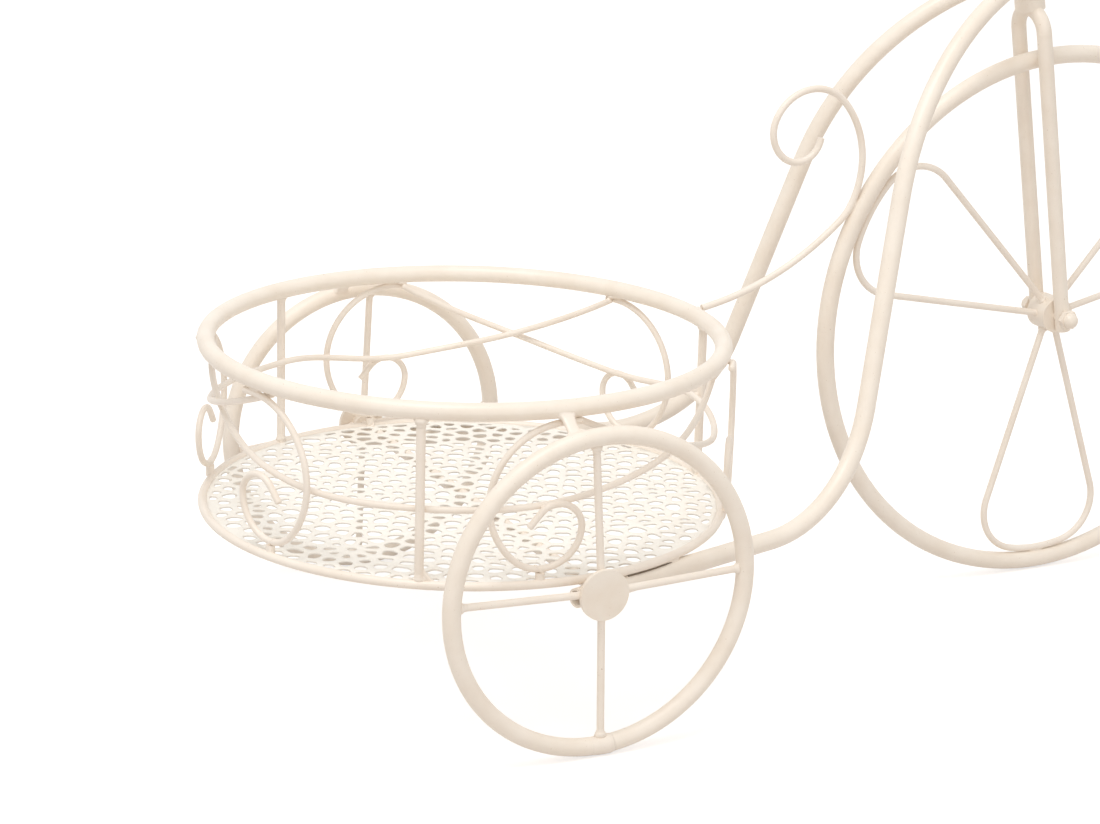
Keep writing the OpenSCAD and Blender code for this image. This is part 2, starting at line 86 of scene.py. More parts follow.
# Scrolls: distance from the post, lead-in, radii of bend, foot and curl, and straight tip
SCROLL_AT = 100 * MM
SCROLL_LEAD = 8 * MM
SCROLL_BEND = 52 * MM
SCROLL_FOOT = 27 * MM
SCROLL_CURL = 15.5 * MM
SCROLL_TIP = 12 * MM
SCROLL_TURN = 135
SCROLL_CURL_TURN = 140
# How far single scrolls slip along the wall and stand out from it
SCROLL_SLIP_LEFT = (0, 6 * MM, 0)
SCROLL_SLIP_RIGHT = (0, 0, 24 * MM)
SCROLL_OUT_LEFT = (0, 4 * MM, 0)
SCROLL_OUT_RIGHT = (6 * MM, 0, 0)
STUB_AT = SCROLL_AT - (SCROLL_BEND - SCROLL_FOOT) * math.cos(math.radians(SCROLL_TURN - 90))

# Rear wheels
WHEEL_R = 104.5 * MM
WHEEL_TUBE = 12 * MM
WHEEL_Y = 195.6 * MM
AXLE_X = 8 * MM
AXLE_Z = 110.5 * MM
AXLE_D = 8 * MM
SPOKE_D = 5 * MM
BOSS_D = 16 * MM
BOSS_L = 7 * MM
# Stray of the upper, front, lower and rear spoke from a right angle, by side
SPOKE_STRAY = {1: (2.5, -2, 1.5, -6), -1: (-4, -2, -1.5, 2)}
STRAP_W = 9 * MM
STRAP_T = 4 * MM
STRAP_BACK = 20 * MM

# Frame tubes
TUBE_D = 13 * MM
TUBE_GAP = 2.1 * MM
TAIL_L = 13 * MM
HEEL_R = 105 * MM
HEEL_DEG = 72.6
CREST_R = 212 * MM
NOSE_DEG = 14
LEAN = 7.1

# Front wheel, fork and bar
HOOP_R = 195 * MM
HOOP_TUBE = 13 * MM
HOOP_X = AXLE_X + 473 * MM
HOOP_Z = HOOP_R + HOOP_TUBE / 2
PETAL_AT = 151
PETAL_WIRE = 5 * MM
PETAL_TOP = 110 * MM
PETAL_TOP_DEG = 12
PETAL_SIDE = 33 * MM
PETAL_LEG_DEG = 108
HUB_D = 26 * MM
STAY_WIRE = 5 * MM
STAY_FOOT_DEG = 25
STAY_AT = 152
STAY_KINK = 40 * MM
STAY_KINK_DEG = 20
# Bends of the stay's ring scroll: radius and degrees
STAY_MOVES = [(66 * MM, 70), (33.5 * MM, 112), (23.5 * MM, 81), (18.5 * MM, 118)]
RAKE = 9.25
FORK_D = 11 * MM
FORK_W = 32 * MM
CROWN_GAP = 26 * MM
POST_TUBE = 22 * MM
HEAD_UP = 260 * MM
BAR_UP = 42.5 * MM

# Fineness of the round wires, their steps, and the chamfer of a cut end
WIRE_SIDES = 16
WIRE_STEP = 1.5 * MM
WIRE_CHAMFER = 0.5 * MM


def here(p):
    """A place about the basket's middle, in the stand's frame."""
    return Vector(p) + BASKET


rim_low, rim_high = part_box("basket_rim")
BASKET = Vector(((rim_low.x + rim_high.x) / 2, 0, 0))


# Materials

POOL_SCALE = 38
POOL_STOPS = (0.32, 0.62)
SPECK_SCALE = 820
SPECK_STOPS = (0.235, 0.275)
RUN_SCALE = 150
RUN_DEPTH = 0.6 * MM
PEEL_SCALE = 900
PEEL_DEPTH = 0.12 * MM
GLOSS_SPREAD = 0.07
COAT = 0.12
COAT_ROUGH = 0.25
CLOUD_SCALE = 60
CLOUD_STOPS = (0.35, 0.65)
GRAIN_SCALE = 2600
GRAIN_DEPTH = 0.05 * MM
GRAIN_STRENGTH = 0.25
PLASTIC_ROUGH = 0.5
WHITE = (1.0, 1.0, 1.0)


def new_material(name):
    material = bpy.data.materials.new(name)
    material.use_nodes = True
    shader = material.node_tree.nodes["Principled BSDF"]
    return material, material.node_tree.nodes, material.node_tree.links, shader


def noise_node(nodes, links, coords, scale, detail=3.0, rough=0.5):
    node = nodes.new("ShaderNodeTexNoise")
    node.inputs["Scale"].default_value = scale
    node.inputs["Detail"].default_value = detail
    node.inputs["Roughness"].default_value = rough
    links.new(coords.outputs["Object"], node.inputs["Vector"])
    return node


def ramp(nodes, links, source, stops):
    """A colour ramp over a factor; stops are two (place, colour) pairs."""
    node = nodes.new("ShaderNodeValToRGB")
    for element, (place, colour) in zip(node.color_ramp.elements, stops):
        element.position = place
        element.color = (*colour, 1)
    links.new(source, node.inputs["Fac"])
    return node


def srgb(r, g, b):
    """A colour written as it is seen, from 0 to 255, as linear light."""
    def linear(v):
        v = v / 255
        return v / 12.92 if v <= 0.04045 else ((v + 0.055) / 1.055) ** 2.4
    return (linear(r), linear(g), linear(b))


def paint(name, light, deep, roughness, peel, lumps):
    """Satin brushed-out paint: pooled tone, faint orange peel and soft lumps where it ran."""
    material, nodes, links, shader = new_material(name)
    coords = nodes.new("ShaderNodeTexCoord")
    pooled = noise_node(nodes, links, coords, POOL_SCALE, 4.0, 0.55)
    tone = ramp(nodes, links, pooled.outputs["Fac"], zip(POOL_STOPS, (deep, light)))
    speck = noise_node(nodes, links, coords, SPECK_SCALE, 2.0, 0.6)
    specks = ramp(nodes, links, speck.outputs["Fac"], zip(SPECK_STOPS, (srgb(196, 176, 148), WHITE)))
    mix = nodes.new("ShaderNodeMix")
    mix.data_type = "RGBA"
    mix.blend_type = "MULTIPLY"
    mix.inputs["Factor"].default_value = 1.0
    links.new(tone.outputs["Color"], mix.inputs["A"])
    links.new(specks.outputs["Color"], mix.inputs["B"])
    links.new(mix.outputs["Result"], shader.inputs["Base Color"])
    gloss = nodes.new("ShaderNodeMapRange")
    gloss.inputs["To Min"].default_value = roughness - GLOSS_SPREAD
    gloss.inputs["To Max"].default_value = roughness + GLOSS_SPREAD
    links.new(pooled.outputs["Fac"], gloss.inputs["Value"])
    links.new(gloss.outputs["Result"], shader.inputs["Roughness"])
    run = noise_node(nodes, links, coords, RUN_SCALE, 2.0, 0.5)
    skin = noise_node(nodes, links, coords, PEEL_SCALE, 3.0, 0.55)
    lump_bump = nodes.new("ShaderNodeBump")
    lump_bump.inputs["Strength"].default_value = lumps
    lump_bump.inputs["Distance"].default_value = RUN_DEPTH
    links.new(run.outputs["Fac"], lump_bump.inputs["Height"])
    peel_bump = nodes.new("ShaderNodeBump")
    peel_bump.inputs["Strength"].default_value = peel
    peel_bump.inputs["Distance"].default_value = PEEL_DEPTH
    links.new(skin.outputs["Fac"], peel_bump.inputs["Height"])
    links.new(lump_bump.outputs["Normal"], peel_bump.inputs["Normal"])
    links.new(peel_bump.outputs["Normal"], shader.inputs["Normal"])
    shader.inputs["Coat Weight"].default_value = COAT
    shader.inputs["Coat Roughness"].default_value = COAT_ROUGH
    return material


def plastic(name, light, deep):
    """Moulded plastic with a fine even grain."""
    material, nodes, links, shader = new_material(name)
    coords = nodes.new("ShaderNodeTexCoord")
    cloud = noise_node(nodes, links, coords, CLOUD_SCALE, 2.0)
    tone = ramp(nodes, links, cloud.outputs["Fac"], zip(CLOUD_STOPS, (deep, light)))
    links.new(tone.outputs["Color"], shader.inputs["Base Color"])
    shader.inputs["Roughness"].default_value = PLASTIC_ROUGH
    grain = noise_node(nodes, links, coords, GRAIN_SCALE, 2.0)
    bump = nodes.new("ShaderNodeBump")
    bump.inputs["Strength"].default_value = GRAIN_STRENGTH
    bump.inputs["Distance"].default_value = GRAIN_DEPTH
    links.new(grain.outputs["Fac"], bump.inputs["Height"])
    links.new(bump.outputs["Normal"], shader.inputs["Normal"])
    return material


FINISH = {
    "painted_tube": paint("painted_tube", srgb(250, 240, 227), srgb(245, 233, 218), 0.42, 0.25, 0.35),
    "painted_wire": paint("painted_wire", srgb(250, 240, 228), srgb(245, 233, 219), 0.42, 0.2, 0.3),
    "painted_sheet": paint("painted_sheet", srgb(255, 251, 243), srgb(252, 246, 236), 0.48, 0.3, 0.25),
    "painted_hub": paint("painted_hub", srgb(249, 239, 226), srgb(244, 231, 215), 0.42, 0.25, 0.35),
    "plug_plastic": plastic("plug_plastic", srgb(238, 226, 206), srgb(232, 218, 196)),
}


def finish_nodes():
    """Gives each kept solid the finish of its slot."""
    slots = {s["node"]: s["material_slot"] for s in frame["record"]["subparts"]}
    for name, obj in frame["nodes"].items():
        finish = FINISH[slots[name]]
        for place in obj.material_slots:
            place.material = finish
        if not obj.material_slots:
            obj.data.materials.append(finish)


def add_piece(name, mesh, slot, replaced=()):
    """Puts a finished mesh on the stand, with the finish of a slot."""
    obj = bpy.data.objects.new(name, mesh)
    bpy.context.scene.collection.objects.link(obj)
    mesh.materials.append(FINISH[slot])
    mesh.polygons.foreach_set("use_smooth", [True] * len(mesh.polygons))
    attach(obj, "root")
    if replaced:
        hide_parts(*replaced)
    return obj


# Paths of the wires

def chain(moves):
    """Points on a flat sheet from the origin along +X: (length,) runs straight and
    (radius, degrees) turns left, or right where the degrees are negative."""
    x, y, heading = 0.0, 0.0, 0.0
    points = [(x, y)]
    for move in moves:
        if len(move) == 1:
            count = max(1, math.ceil(move[0] / WIRE_STEP))
            for _ in range(count):
                x += move[0] / count * math.cos(heading)
                y += move[0] / count * math.sin(heading)
                points.append((x, y))
        else:
            radius, turn = move[0], math.radians(move[1])
            count = max(1, math.ceil(radius * abs(turn) / WIRE_STEP))
            side = math.copysign(1, turn)
            cx = x - side * radius * math.sin(heading)
            cy = y + side * radius * math.cos(heading)
            for _ in range(count):
                heading += turn / count
                x = cx + side * radius * math.sin(heading)
                y = cy - side * radius * math.cos(heading)
                points.append((x, y))
    return points


def turn_z(degrees):
    return Matrix.Rotation(math.radians(degrees), 4, "Z")


def turn_x(degrees):
    return Matrix.Rotation(math.radians(degrees), 4, "X")


def turn_y(degrees):
    return Matrix.Rotation(math.radians(degrees), 4, "Y")


def laid(points, matrix):
    return [matrix @ Vector((x, y, 0)) for x, y in points]


def straight(a, b):
    a, b = Vector(a), Vector(b)
    count = max(2, math.ceil((b - a).length / WIRE_STEP))
    return [a.lerp(b, k / count) for k in range(count + 1)]


def circle(centre, radius, upright):
    """A closed circle, flat or upright in the XZ plane."""
    count = math.ceil(2 * math.pi * radius / WIRE_STEP)
    points = []
    for k in range(count):
        a = 2 * math.pi * k / count
        u, v = radius * math.cos(a), radius * math.sin(a)
        points.append(Vector(centre) + (Vector((u, 0, v)) if upright else Vector((u, v, 0))))
    return points


def on_wall(degrees, z, radius):
    a = math.radians(degrees)
    return Vector((radius * math.cos(a), radius * math.sin(a), z))


def bump(x):
    return math.cos(math.pi / 2 * x) ** 2 if abs(x) < 1 else 0.0


def even_angle(k):
    return POST_TURN + 120 * k


def post_angle(k):
    return even_angle(k) + POST_STRAY[k]


def under_rim(radius):
    """Height at which a wire that hangs at a radius touches the rim from below."""
    return RIM_Z - math.sqrt(((RIM_TUBE + WIRE_D) / 2 + TOUCH) ** 2 - (RIM_R - radius) ** 2)


def swag_path(k):
    """A swag dips near its post and climbs to the rim, over one neighbour and under the other."""
    end = under_rim(SWAG_R)
    count = math.ceil(math.radians(SWAG_DEG) * SWAG_R / WIRE_STEP)
    points = []
    for i in range(-count, count + 1):
        x = SWAG_DEG * i / count
        low = RING_Z + (SWAG_LOW_LEFT if x > 0 else SWAG_LOW_RIGHT)[k]
        power = (SWAG_POWER_LEFT if x > 0 else SWAG_POWER_RIGHT)[k]
        peak = RING_Z + SWAG_POST[k] - low
        z = low + (end - low) * (abs(x) / SWAG_DEG) ** power + peak * bump(x / PEAK_DEG)
        weave = WEAVE * (bump((x - CROSS_DEG) / CROSS_WIDTH) - bump((x + CROSS_DEG) / CROSS_WIDTH))
        points.append(on_wall(post_angle(k) + x, z, SWAG_R + weave))
    return points


def scroll_out(k, side):
    return (SCROLL_OUT_LEFT if side > 0 else SCROLL_OUT_RIGHT)[k]


def scroll_angle(k, side, s):
    slip = (SCROLL_SLIP_LEFT if side > 0 else SCROLL_SLIP_RIGHT)[k]
    return even_angle(k) + side * math.degrees((s + slip) / POST_R)


def scroll_path(k, side):
    """A scroll hangs under the rim, bends down and curls up inside itself."""
    radius = SCROLL_R + scroll_out(k, side)
    top = under_rim(radius)
    moves = [(SCROLL_LEAD,), (SCROLL_BEND, SCROLL_TURN), (SCROLL_FOOT, SCROLL_TURN),
             (SCROLL_CURL, SCROLL_CURL_TURN), (SCROLL_TIP,)]
    flat = [(SCROLL_AT + SCROLL_LEAD - x, top - y) for x, y in chain(moves)]
    return [on_wall(scroll_angle(k, side, s), z, radius + (s - STUB_AT) ** 2 / (2 * SCROLL_R))
            for s, z in flat]


def stub_path(k, side):
    """A stub stands on the ring and holds a scroll's lowest point."""
    radius = SCROLL_R + scroll_out(k, side)
    angle = scroll_angle(k, side, STUB_AT)
    slope = math.radians(SCROLL_TURN - 90)
    drop = SCROLL_BEND + SCROLL_FOOT + (SCROLL_BEND - SCROLL_FOOT) * math.sin(slope)
    top = under_rim(radius) - drop - WIRE_D / 2
    return straight(on_wall(angle, RING_Z, radius), on_wall(angle, top, radius))


def tube_path(side):
    """The middle line of a frame tube, from its open tail to the head post."""
    run_y = WHEEL_Y - WHEEL_TUBE / 2 - TUBE_D / 2 - TUBE_GAP
    run_z = RING_Z - RING_WIRE / 2 - TUBE_D / 2 - TOUCH
    nose_x = HOOP_X - HEAD_UP * math.sin(math.radians(RAKE))
    nose_y = TUBE_D / 2 + TOUCH
    nose_z = HOOP_Z + HEAD_UP * math.cos(math.radians(RAKE))
    rise = (nose_z - run_z) / math.cos(math.radians(LEAN))
    inward = rise * math.sin(math.radians(LEAN))
    reach = math.sqrt((nose_x - AXLE_X) ** 2 + (run_y - nose_y) ** 2 - inward ** 2)
    toe = math.degrees(math.atan2(run_y - nose_y, nose_x - AXLE_X) - math.atan2(inward, reach))
    heel, nose = math.radians(HEEL_DEG), math.radians(NOSE_DEG)
    rise_l = (rise - HEEL_R * (1 - math.cos(heel))
              - CREST_R * (math.cos(nose) - math.cos(heel))) / math.sin(heel)
    run_l = (reach - HEEL_R * math.sin(heel) - rise_l * math.cos(heel)
             - CREST_R * (math.sin(heel) - math.sin(nose)))
    flat = chain([(TAIL_L + run_l,), (HEEL_R, HEEL_DEG), (rise_l,), (CREST_R, NOSE_DEG - HEEL_DEG)])
    sheet = (Matrix.Translation((AXLE_X, run_y, run_z)) @ turn_z(-toe) @ turn_x(90 + LEAN)
             @ Matrix.Translation((-TAIL_L, 0, 0)))
    return [Vector((p.x, side * p.y, p.z)) for p in laid(flat, sheet)]


def stay_path():
    """The stay's middle line: foot on the rim, weld on the front wheel, ring scroll."""
    foot = (RIM_TUBE + STAY_WIRE) / 2 + TOUCH
    x = RIM_R + foot * math.cos(math.radians(STAY_FOOT_DEG))
    z = RIM_Z + foot * math.sin(math.radians(STAY_FOOT_DEG))
    weld_r = HOOP_R + (HOOP_TUBE + STAY_WIRE) / 2 + TOUCH
    weld_x = HOOP_X + weld_r * math.cos(math.radians(STAY_AT))
    weld_z = HOOP_Z + weld_r * math.sin(math.radians(STAY_AT))
    late, early = math.radians(STAY_AT - 90), math.radians(STAY_AT - 90 - STAY_KINK_DEG)
    kink_x = weld_x - STAY_KINK * (math.sin(late) - math.sin(early))
    kink_z = weld_z - STAY_KINK * (math.cos(early) - math.cos(late))
    span = math.hypot(kink_x - x, kink_z - z)
    slope = math.atan2(kink_z - z, kink_x - x)
    half = early - slope
    moves = [(span / (2 * math.sin(half)), math.degrees(2 * half)), (STAY_KINK, STAY_KINK_DEG)]
    start = (Matrix.Translation((x, 0, z)) @ turn_x(90) @ turn_z(math.degrees(slope - half)))
    return laid(chain(moves + STAY_MOVES), start)


def petal_path(a):
    """A petal's middle line, up one leg, over the top and down the other."""
    flat_top = math.radians(PETAL_TOP_DEG)
    leg = math.radians(PETAL_LEG_DEG)
    out = HOOP_R - HOOP_TUBE / 2 - PETAL_WIRE / 2 - TOUCH
    side_t = PETAL_TOP * math.sin(flat_top) + PETAL_SIDE * (math.sin(leg) - math.sin(flat_top))
    side_r = (out - PETAL_TOP * (1 - math.cos(flat_top))
              - PETAL_SIDE * (math.cos(flat_top) - math.cos(leg)))
    leg_l = (side_r - HUB_D / 4) / math.sin(leg)
    foot_t = side_t + leg_l * math.cos(leg)
    turn = PETAL_LEG_DEG - PETAL_TOP_DEG
    flat = chain([(leg_l,), (PETAL_SIDE, turn), (PETAL_TOP, 2 * PETAL_TOP_DEG),
                  (PETAL_SIDE, turn), (leg_l,)])
    place = (Matrix.Translation((HOOP_X, 0, HOOP_Z)) @ turn_x(90) @ turn_z(a - 90)
             @ Matrix.Translation((foot_t, HUB_D / 4, 0)) @ turn_z(180 - PETAL_LEG_DEG))
    return laid(flat, place)


def steering(up, y=0.0):
    """A point on the leaning steering line, up from the front axle."""
    return Matrix.Translation((HOOP_X, 0, HOOP_Z)) @ turn_y(-RAKE) @ Vector((0, y, up))


def wire_lines():
    """The middle line, radius and closedness of every wire and tube, by name."""
    lines = {
        "rim": (circle((0, 0, RIM_Z), RIM_R, False), RIM_TUBE / 2, True),
        "ring": (circle((0, 0, RING_Z), RING_R, False), RING_WIRE / 2, True),
        "axle": (straight((AXLE_X, -WHEEL_Y, AXLE_Z), (AXLE_X, WHEEL_Y, AXLE_Z)), AXLE_D / 2, False),
        "stay": (stay_path(), STAY_WIRE / 2, False),
        "hoop": (circle((HOOP_X, 0, HOOP_Z), HOOP_R, True), HOOP_TUBE / 2, True),
        "hub": (straight((HOOP_X, -FORK_W / 4, HOOP_Z), (HOOP_X, FORK_W / 4, HOOP_Z)), HUB_D / 2, False),
    }
    for k in range(3):
        a = post_angle(k)
        lines[f"post_{k}"] = (straight(on_wall(a, RING_Z, POST_R), on_wall(a, RIM_Z, POST_R)),
                              POST_D / 2, False)
        lines[f"swag_{k}"] = (swag_path(k), WIRE_D / 2, False)
        lines[f"petal_{k}"] = (petal_path(PETAL_AT + 120 * k), PETAL_WIRE / 2, False)
        for side in (-1, 1):
            lines[f"scroll_{k}_{side}"] = (scroll_path(k, side), WIRE_D / 2, False)
            lines[f"stub_{k}_{side}"] = (stub_path(k, side), RING_WIRE / 2, False)
    for side in (-1, 1):
        y = side * WHEEL_Y
        lines[f"wheel_{side}"] = (circle((AXLE_X, y, AXLE_Z), WHEEL_R, True), WHEEL_TUBE / 2, True)
        lines[f"boss_{side}"] = (straight((AXLE_X, y - side * BOSS_L, AXLE_Z), (AXLE_X, y, AXLE_Z)),
                                 BOSS_D / 2, False)
        lines[f"tube_{side}"] = (tube_path(side), TUBE_D / 2, False)
        for k in range(4):
            a = math.radians(90 * k + SPOKE_STRAY[side][k])
            end = Vector((AXLE_X + WHEEL_R * math.sin(a), y, AXLE_Z + WHEEL_R * math.cos(a)))
            lines[f"spoke_{side}_{k}"] = (straight((AXLE_X, y, AXLE_Z), end), SPOKE_D / 2, False)
    crown = HOOP_R + HOOP_TUBE / 2 + CROWN_GAP + FORK_D / 2
    lines["head"] = (straight(steering(crown), steering(HEAD_UP + BAR_UP)), POST_TUBE / 2, False)
    return lines


LINES = wire_lines()


# Swept wires

def tangent_at(points, i):
    return (points[min(i + 1, len(points) - 1)] - points[max(i - 1, 0)]).normalized()


def sweep_rings(points, radii, sides):
    """Rings of corners along a path, with the least twist."""
    rings = []
    side = None
    for i, p in enumerate(points):
        tangent = tangent_at(points, i)
        if side is None:
            side = tangent.orthogonal().normalized()
        side = (side - tangent * side.dot(tangent)).normalized()
        other = tangent.cross(side)
        rings.append([p + radii[i] * (math.cos(2 * math.pi * k / sides) * side
                                      + math.sin(2 * math.pi * k / sides) * other)
                      for k in range(sides)])
    return rings


def wire_into(bm, points, radius):
    """Adds a round wire to a mesh; its cut ends get a small chamfer."""
    rings = sweep_rings(points, [radius] * len(points), WIRE_SIDES)
    for end, inner in ((0, 1), (-1, -2)):
        middle = points[end]
        ring = rings[end]
        small = [middle.lerp(c, 1 - WIRE_CHAMFER / radius) for c in ring]
        away = (middle - points[inner]).normalized() * WIRE_CHAMFER
        rings[end] = [c - away for c in ring]
        rings.insert(0 if end == 0 else len(rings), small)
    skin_into(bm, rings)


def band_into(bm, a, b):
    """Faces between two closed rows of corners."""
    for k in range(len(a)):
        n = (k + 1) % len(a)
        bm.faces.new((a[k], a[n], b[n], b[k]))


def skin_into(bm, rings):
    """Joins rings of corners into a skin, with a cap at both ends."""
    rows = [[bm.verts.new(here(c)) for c in ring] for ring in rings]
    for a, b in zip(rows, rows[1:]):
        band_into(bm, a, b)
    bm.faces.new(list(reversed(rows[0])))
    bm.faces.new(rows[-1])


def mesh_from(name, bm):
    bmesh.ops.recalc_face_normals(bm, faces=bm.faces[:])
    mesh = bpy.data.meshes.new(name)
    bm.to_mesh(mesh)
    bm.free()
    return mesh


def add_wire(name, points, radius, node):
    bm = bmesh.new()
    wire_into(bm, points, radius)
    add_piece(name, mesh_from(name, bm), "painted_wire", (node,))


def round_wires():
    """Round swags and scrolls in place of the eight-sided ones."""
    posts = ("front", "left", "right")
    ends = {("front", 1): "left", ("front", -1): "right", ("left", 1): "rear",
            ("left", -1): "front", ("right", 1): "front", ("right", -1): "rear"}
    for k, post in enumerate(posts):
        points, radius, _ = LINES[f"swag_{k}"]
        add_wire(f"swag_wire_{post}", points, radius, f"swag_{post}")
        for side in (-1, 1):
            end = ends[(post, side)]
            points, radius, _ = LINES[f"scroll_{k}_{side}"]
            add_wire(f"scroll_wire_{post}_{end}", points, radius, f"scroll_{post}_{end}")


# Pierced floor

# Holes: spacing, reach past the edge, web between them, spread of size, turned-down lip, stray
HOLE_PITCH = 14 * MM
HOLE_PAST = 0.6 * HOLE_PITCH
HOLE_WEB = 3 * MM
HOLE_VARY = 0.9 * MM
HOLE_LIP = 0.45 * MM
HOLE_JITTER = 3.4 * MM
HOLE_SOFT = 1.2 * MM
HOLE_LEAST = 1.2 * MM
HOLE_HALVINGS = 18
NEIGHBOURS = 25
SHORTEST_SIDE = 0.05 * MM
BORDER_STEP = 1.6 * MM
SHEET_R = 175.3 * MM
SHEET_SIDES = 180
SHEET_Z = RING_Z
SHEET_T = 0.9 * MM
SHEET_EDGE = 0.2 * MM
SHEET_LIP = 1.6 * SHEET_EDGE
SHEET_PLAIN = 4 * MM
SHEET_WAVE = 0.35 * MM
SHEET_WAVE_SCALE = 14
SHEET_RIM = 0.1 * MM
SHEET_MERGE = 0.07 * MM
# Ring-shaped groups of holes, and the places of their middles in millimetres
DAISY_PETALS = 9
DAISY_R = 13.5 * MM
DAISY_CLEAR = 21 * MM
DAISIES = [(107, -98), (140, -43), (101, 143), (-20, -118), (-112, -72), (-38, 24),
           (48, 62), (-128, 42), (-36, 122), (30, -40)]


def hole_sites():
    """Centres of the holes: rings of petals round each daisy, uneven rows between them."""
    rng = random.Random(7)
    daisies = [Vector((x * MM, y * MM)) for x, y in DAISIES]
    sites = []
    for d in daisies:
        sites.append(d)
        turn = rng.uniform(0, 2 * math.pi)
        for k in range(DAISY_PETALS):
            a = turn + 2 * math.pi * k / DAISY_PETALS
            sites.append(d + DAISY_R * Vector((math.cos(a), math.sin(a))))
    row_step = HOLE_PITCH * math.sin(math.radians(60))
    rows = math.ceil((SHEET_R + HOLE_PITCH) / row_step)
    for j in range(-rows, rows + 1):
        for i in range(-rows - 2, rows + 3):
            x = HOLE_PITCH * (i + (abs(j) % 2) / 2) + rng.uniform(-HOLE_JITTER, HOLE_JITTER)
            y = row_step * j + rng.uniform(-HOLE_JITTER, HOLE_JITTER)
            p = Vector((x, y))
            clear = all((p - d).length > DAISY_CLEAR for d in daisies)
            if p.length < SHEET_R + HOLE_PAST and clear:
                sites.append(p)
    return sites


def clipped(polygon, point, normal):
    """The part of a convex polygon on the near side of a line."""
    out = []
    count = len(polygon)
    for i in range(count):
        a, b = polygon[i], polygon[(i + 1) % count]
        da, db = (a - point).dot(normal), (b - point).dot(normal)
        if da <= 0:
            out.append(a)
        if da * db < 0:
            out.append(a.lerp(b, da / (da - db)))
    return out


def cells(sites):
    """The cell of points nearest to each site, cut to the round sheet."""
    turns = [2 * math.pi * k / SHEET_SIDES for k in range(SHEET_SIDES)]
    rim = [Vector((SHEET_R * math.cos(a), SHEET_R * math.sin(a))) for a in turns]
    found = []
    places = np.array([(s.x, s.y) for s in sites])
    for i, s in enumerate(sites):
        box = 2 * HOLE_PITCH
        cell = [s + Vector(c) * box for c in ((-1, -1), (1, -1), (1, 1), (-1, 1))]
        away = np.hypot(*(places - places[i]).T)
        for j in np.argsort(away)[1:NEIGHBOURS + 1]:
            other = sites[int(j)]
            cell = clipped(cell, (s + other) / 2, (other - s).normalized())
        if max(c.length for c in cell) > SHEET_R:
            for k in range(SHEET_SIDES):
                a, b = rim[k], rim[(k + 1) % SHEET_SIDES]
                normal = Vector((b.y - a.y, a.x - b.x)).normalized()
                if any((c - a).dot(normal) > 0 for c in cell):
                    cell = clipped(cell, a, normal)
                if len(cell) < 3:
                    break
        if len(cell) >= 3:
            found.append(cell)
    return found


def cell_border(cell):
    """A cell's corners, with points along its longer sides."""
    points = []
    count = len(cell)
    for i in range(count):
        a, b = cell[i], cell[(i + 1) % count]
        if (b - a).length < SHORTEST_SIDE:
            continue
        pieces = max(1, round((b - a).length / BORDER_STEP))
        points += [a.lerp(b, k / pieces) for k in range(pieces)]
    return points


def hole_in(cell, border, inset):
    """One point of the rounded hole for each point of the border, or None where it is too small."""
    middle = sum(border, Vector((0, 0))) / len(border)
    sides = []
    for i in range(len(cell)):
        a, b = cell[i], cell[(i + 1) % len(cell)]
        if (b - a).length < SHORTEST_SIDE:
            continue
        normal = Vector((b.y - a.y, a.x - b.x)).normalized()
        sides.append((a, normal))

    def depth(p):
        return -HOLE_SOFT * math.log(sum(math.exp((p - a).dot(n) / HOLE_SOFT) for a, n in sides))

    inset = min(inset, depth(middle) - HOLE_LEAST)
    if inset < HOLE_LEAST / 2:
        return None
    hole = []
    for p in border:
        low, high = 0.0, 1.0
        for _ in range(HOLE_HALVINGS):
            half = (low + high) / 2
            if depth(middle.lerp(p, half)) > inset:
                low = half
            else:
                high = half
        hole.append(middle.lerp(p, low))
    return hole


def sheet_height(x, y):
    """The sheet's gentle unevenness."""
    return SHEET_WAVE * noise.noise(Vector((x * SHEET_WAVE_SCALE, y * SHEET_WAVE_SCALE, 3.0)))


def pierced_floor():
    """The floor sheet: cells with rounded holes, each with soft painted edges."""
    bm = bmesh.new()
    top = SHEET_Z + SHEET_T

    def ring(points, z):
        return [bm.verts.new(here((p.x, p.y, z + sheet_height(p.x, p.y)))) for p in points]

    rng = random.Random(11)
    for cell in cells(hole_sites()):
        inset = HOLE_WEB / 2 + rng.uniform(0, HOLE_VARY)
        border = cell_border(cell)
        if len(border) < 3:
            continue
        reach = min(c.length for c in cell)
        hole = hole_in(cell, border, inset) if reach < SHEET_R - SHEET_PLAIN else None
        upper, lower = ring(border, top), ring(border, SHEET_Z)
        if hole is None:
            bm.faces.new(upper)
            bm.faces.new(list(reversed(lower)))
        else:
            middle = sum(hole, Vector((0, 0))) / len(hole)
            lip = [p + (p - middle).normalized() * SHEET_LIP for p in hole]
            rows = [upper, ring(lip, top), ring(hole, top - SHEET_EDGE),
                    ring(hole, SHEET_Z - HOLE_LIP), ring(lip, SHEET_Z - HOLE_LIP),
                    ring(lip, SHEET_Z), lower]
            for a, b in zip(rows, rows[1:]):
                band_into(bm, a, b)
        for k in range(len(border)):
            n = (k + 1) % len(border)
            if min(border[k].length, border[n].length) > SHEET_R - SHEET_RIM:
                bm.faces.new((lower[k], lower[n], upper[n], upper[k]))
    bmesh.ops.remove_doubles(bm, verts=bm.verts[:], dist=SHEET_MERGE)
    add_piece("floor_lace", mesh_from("floor_lace", bm), "painted_sheet", ("basket_floor",))


# Welds

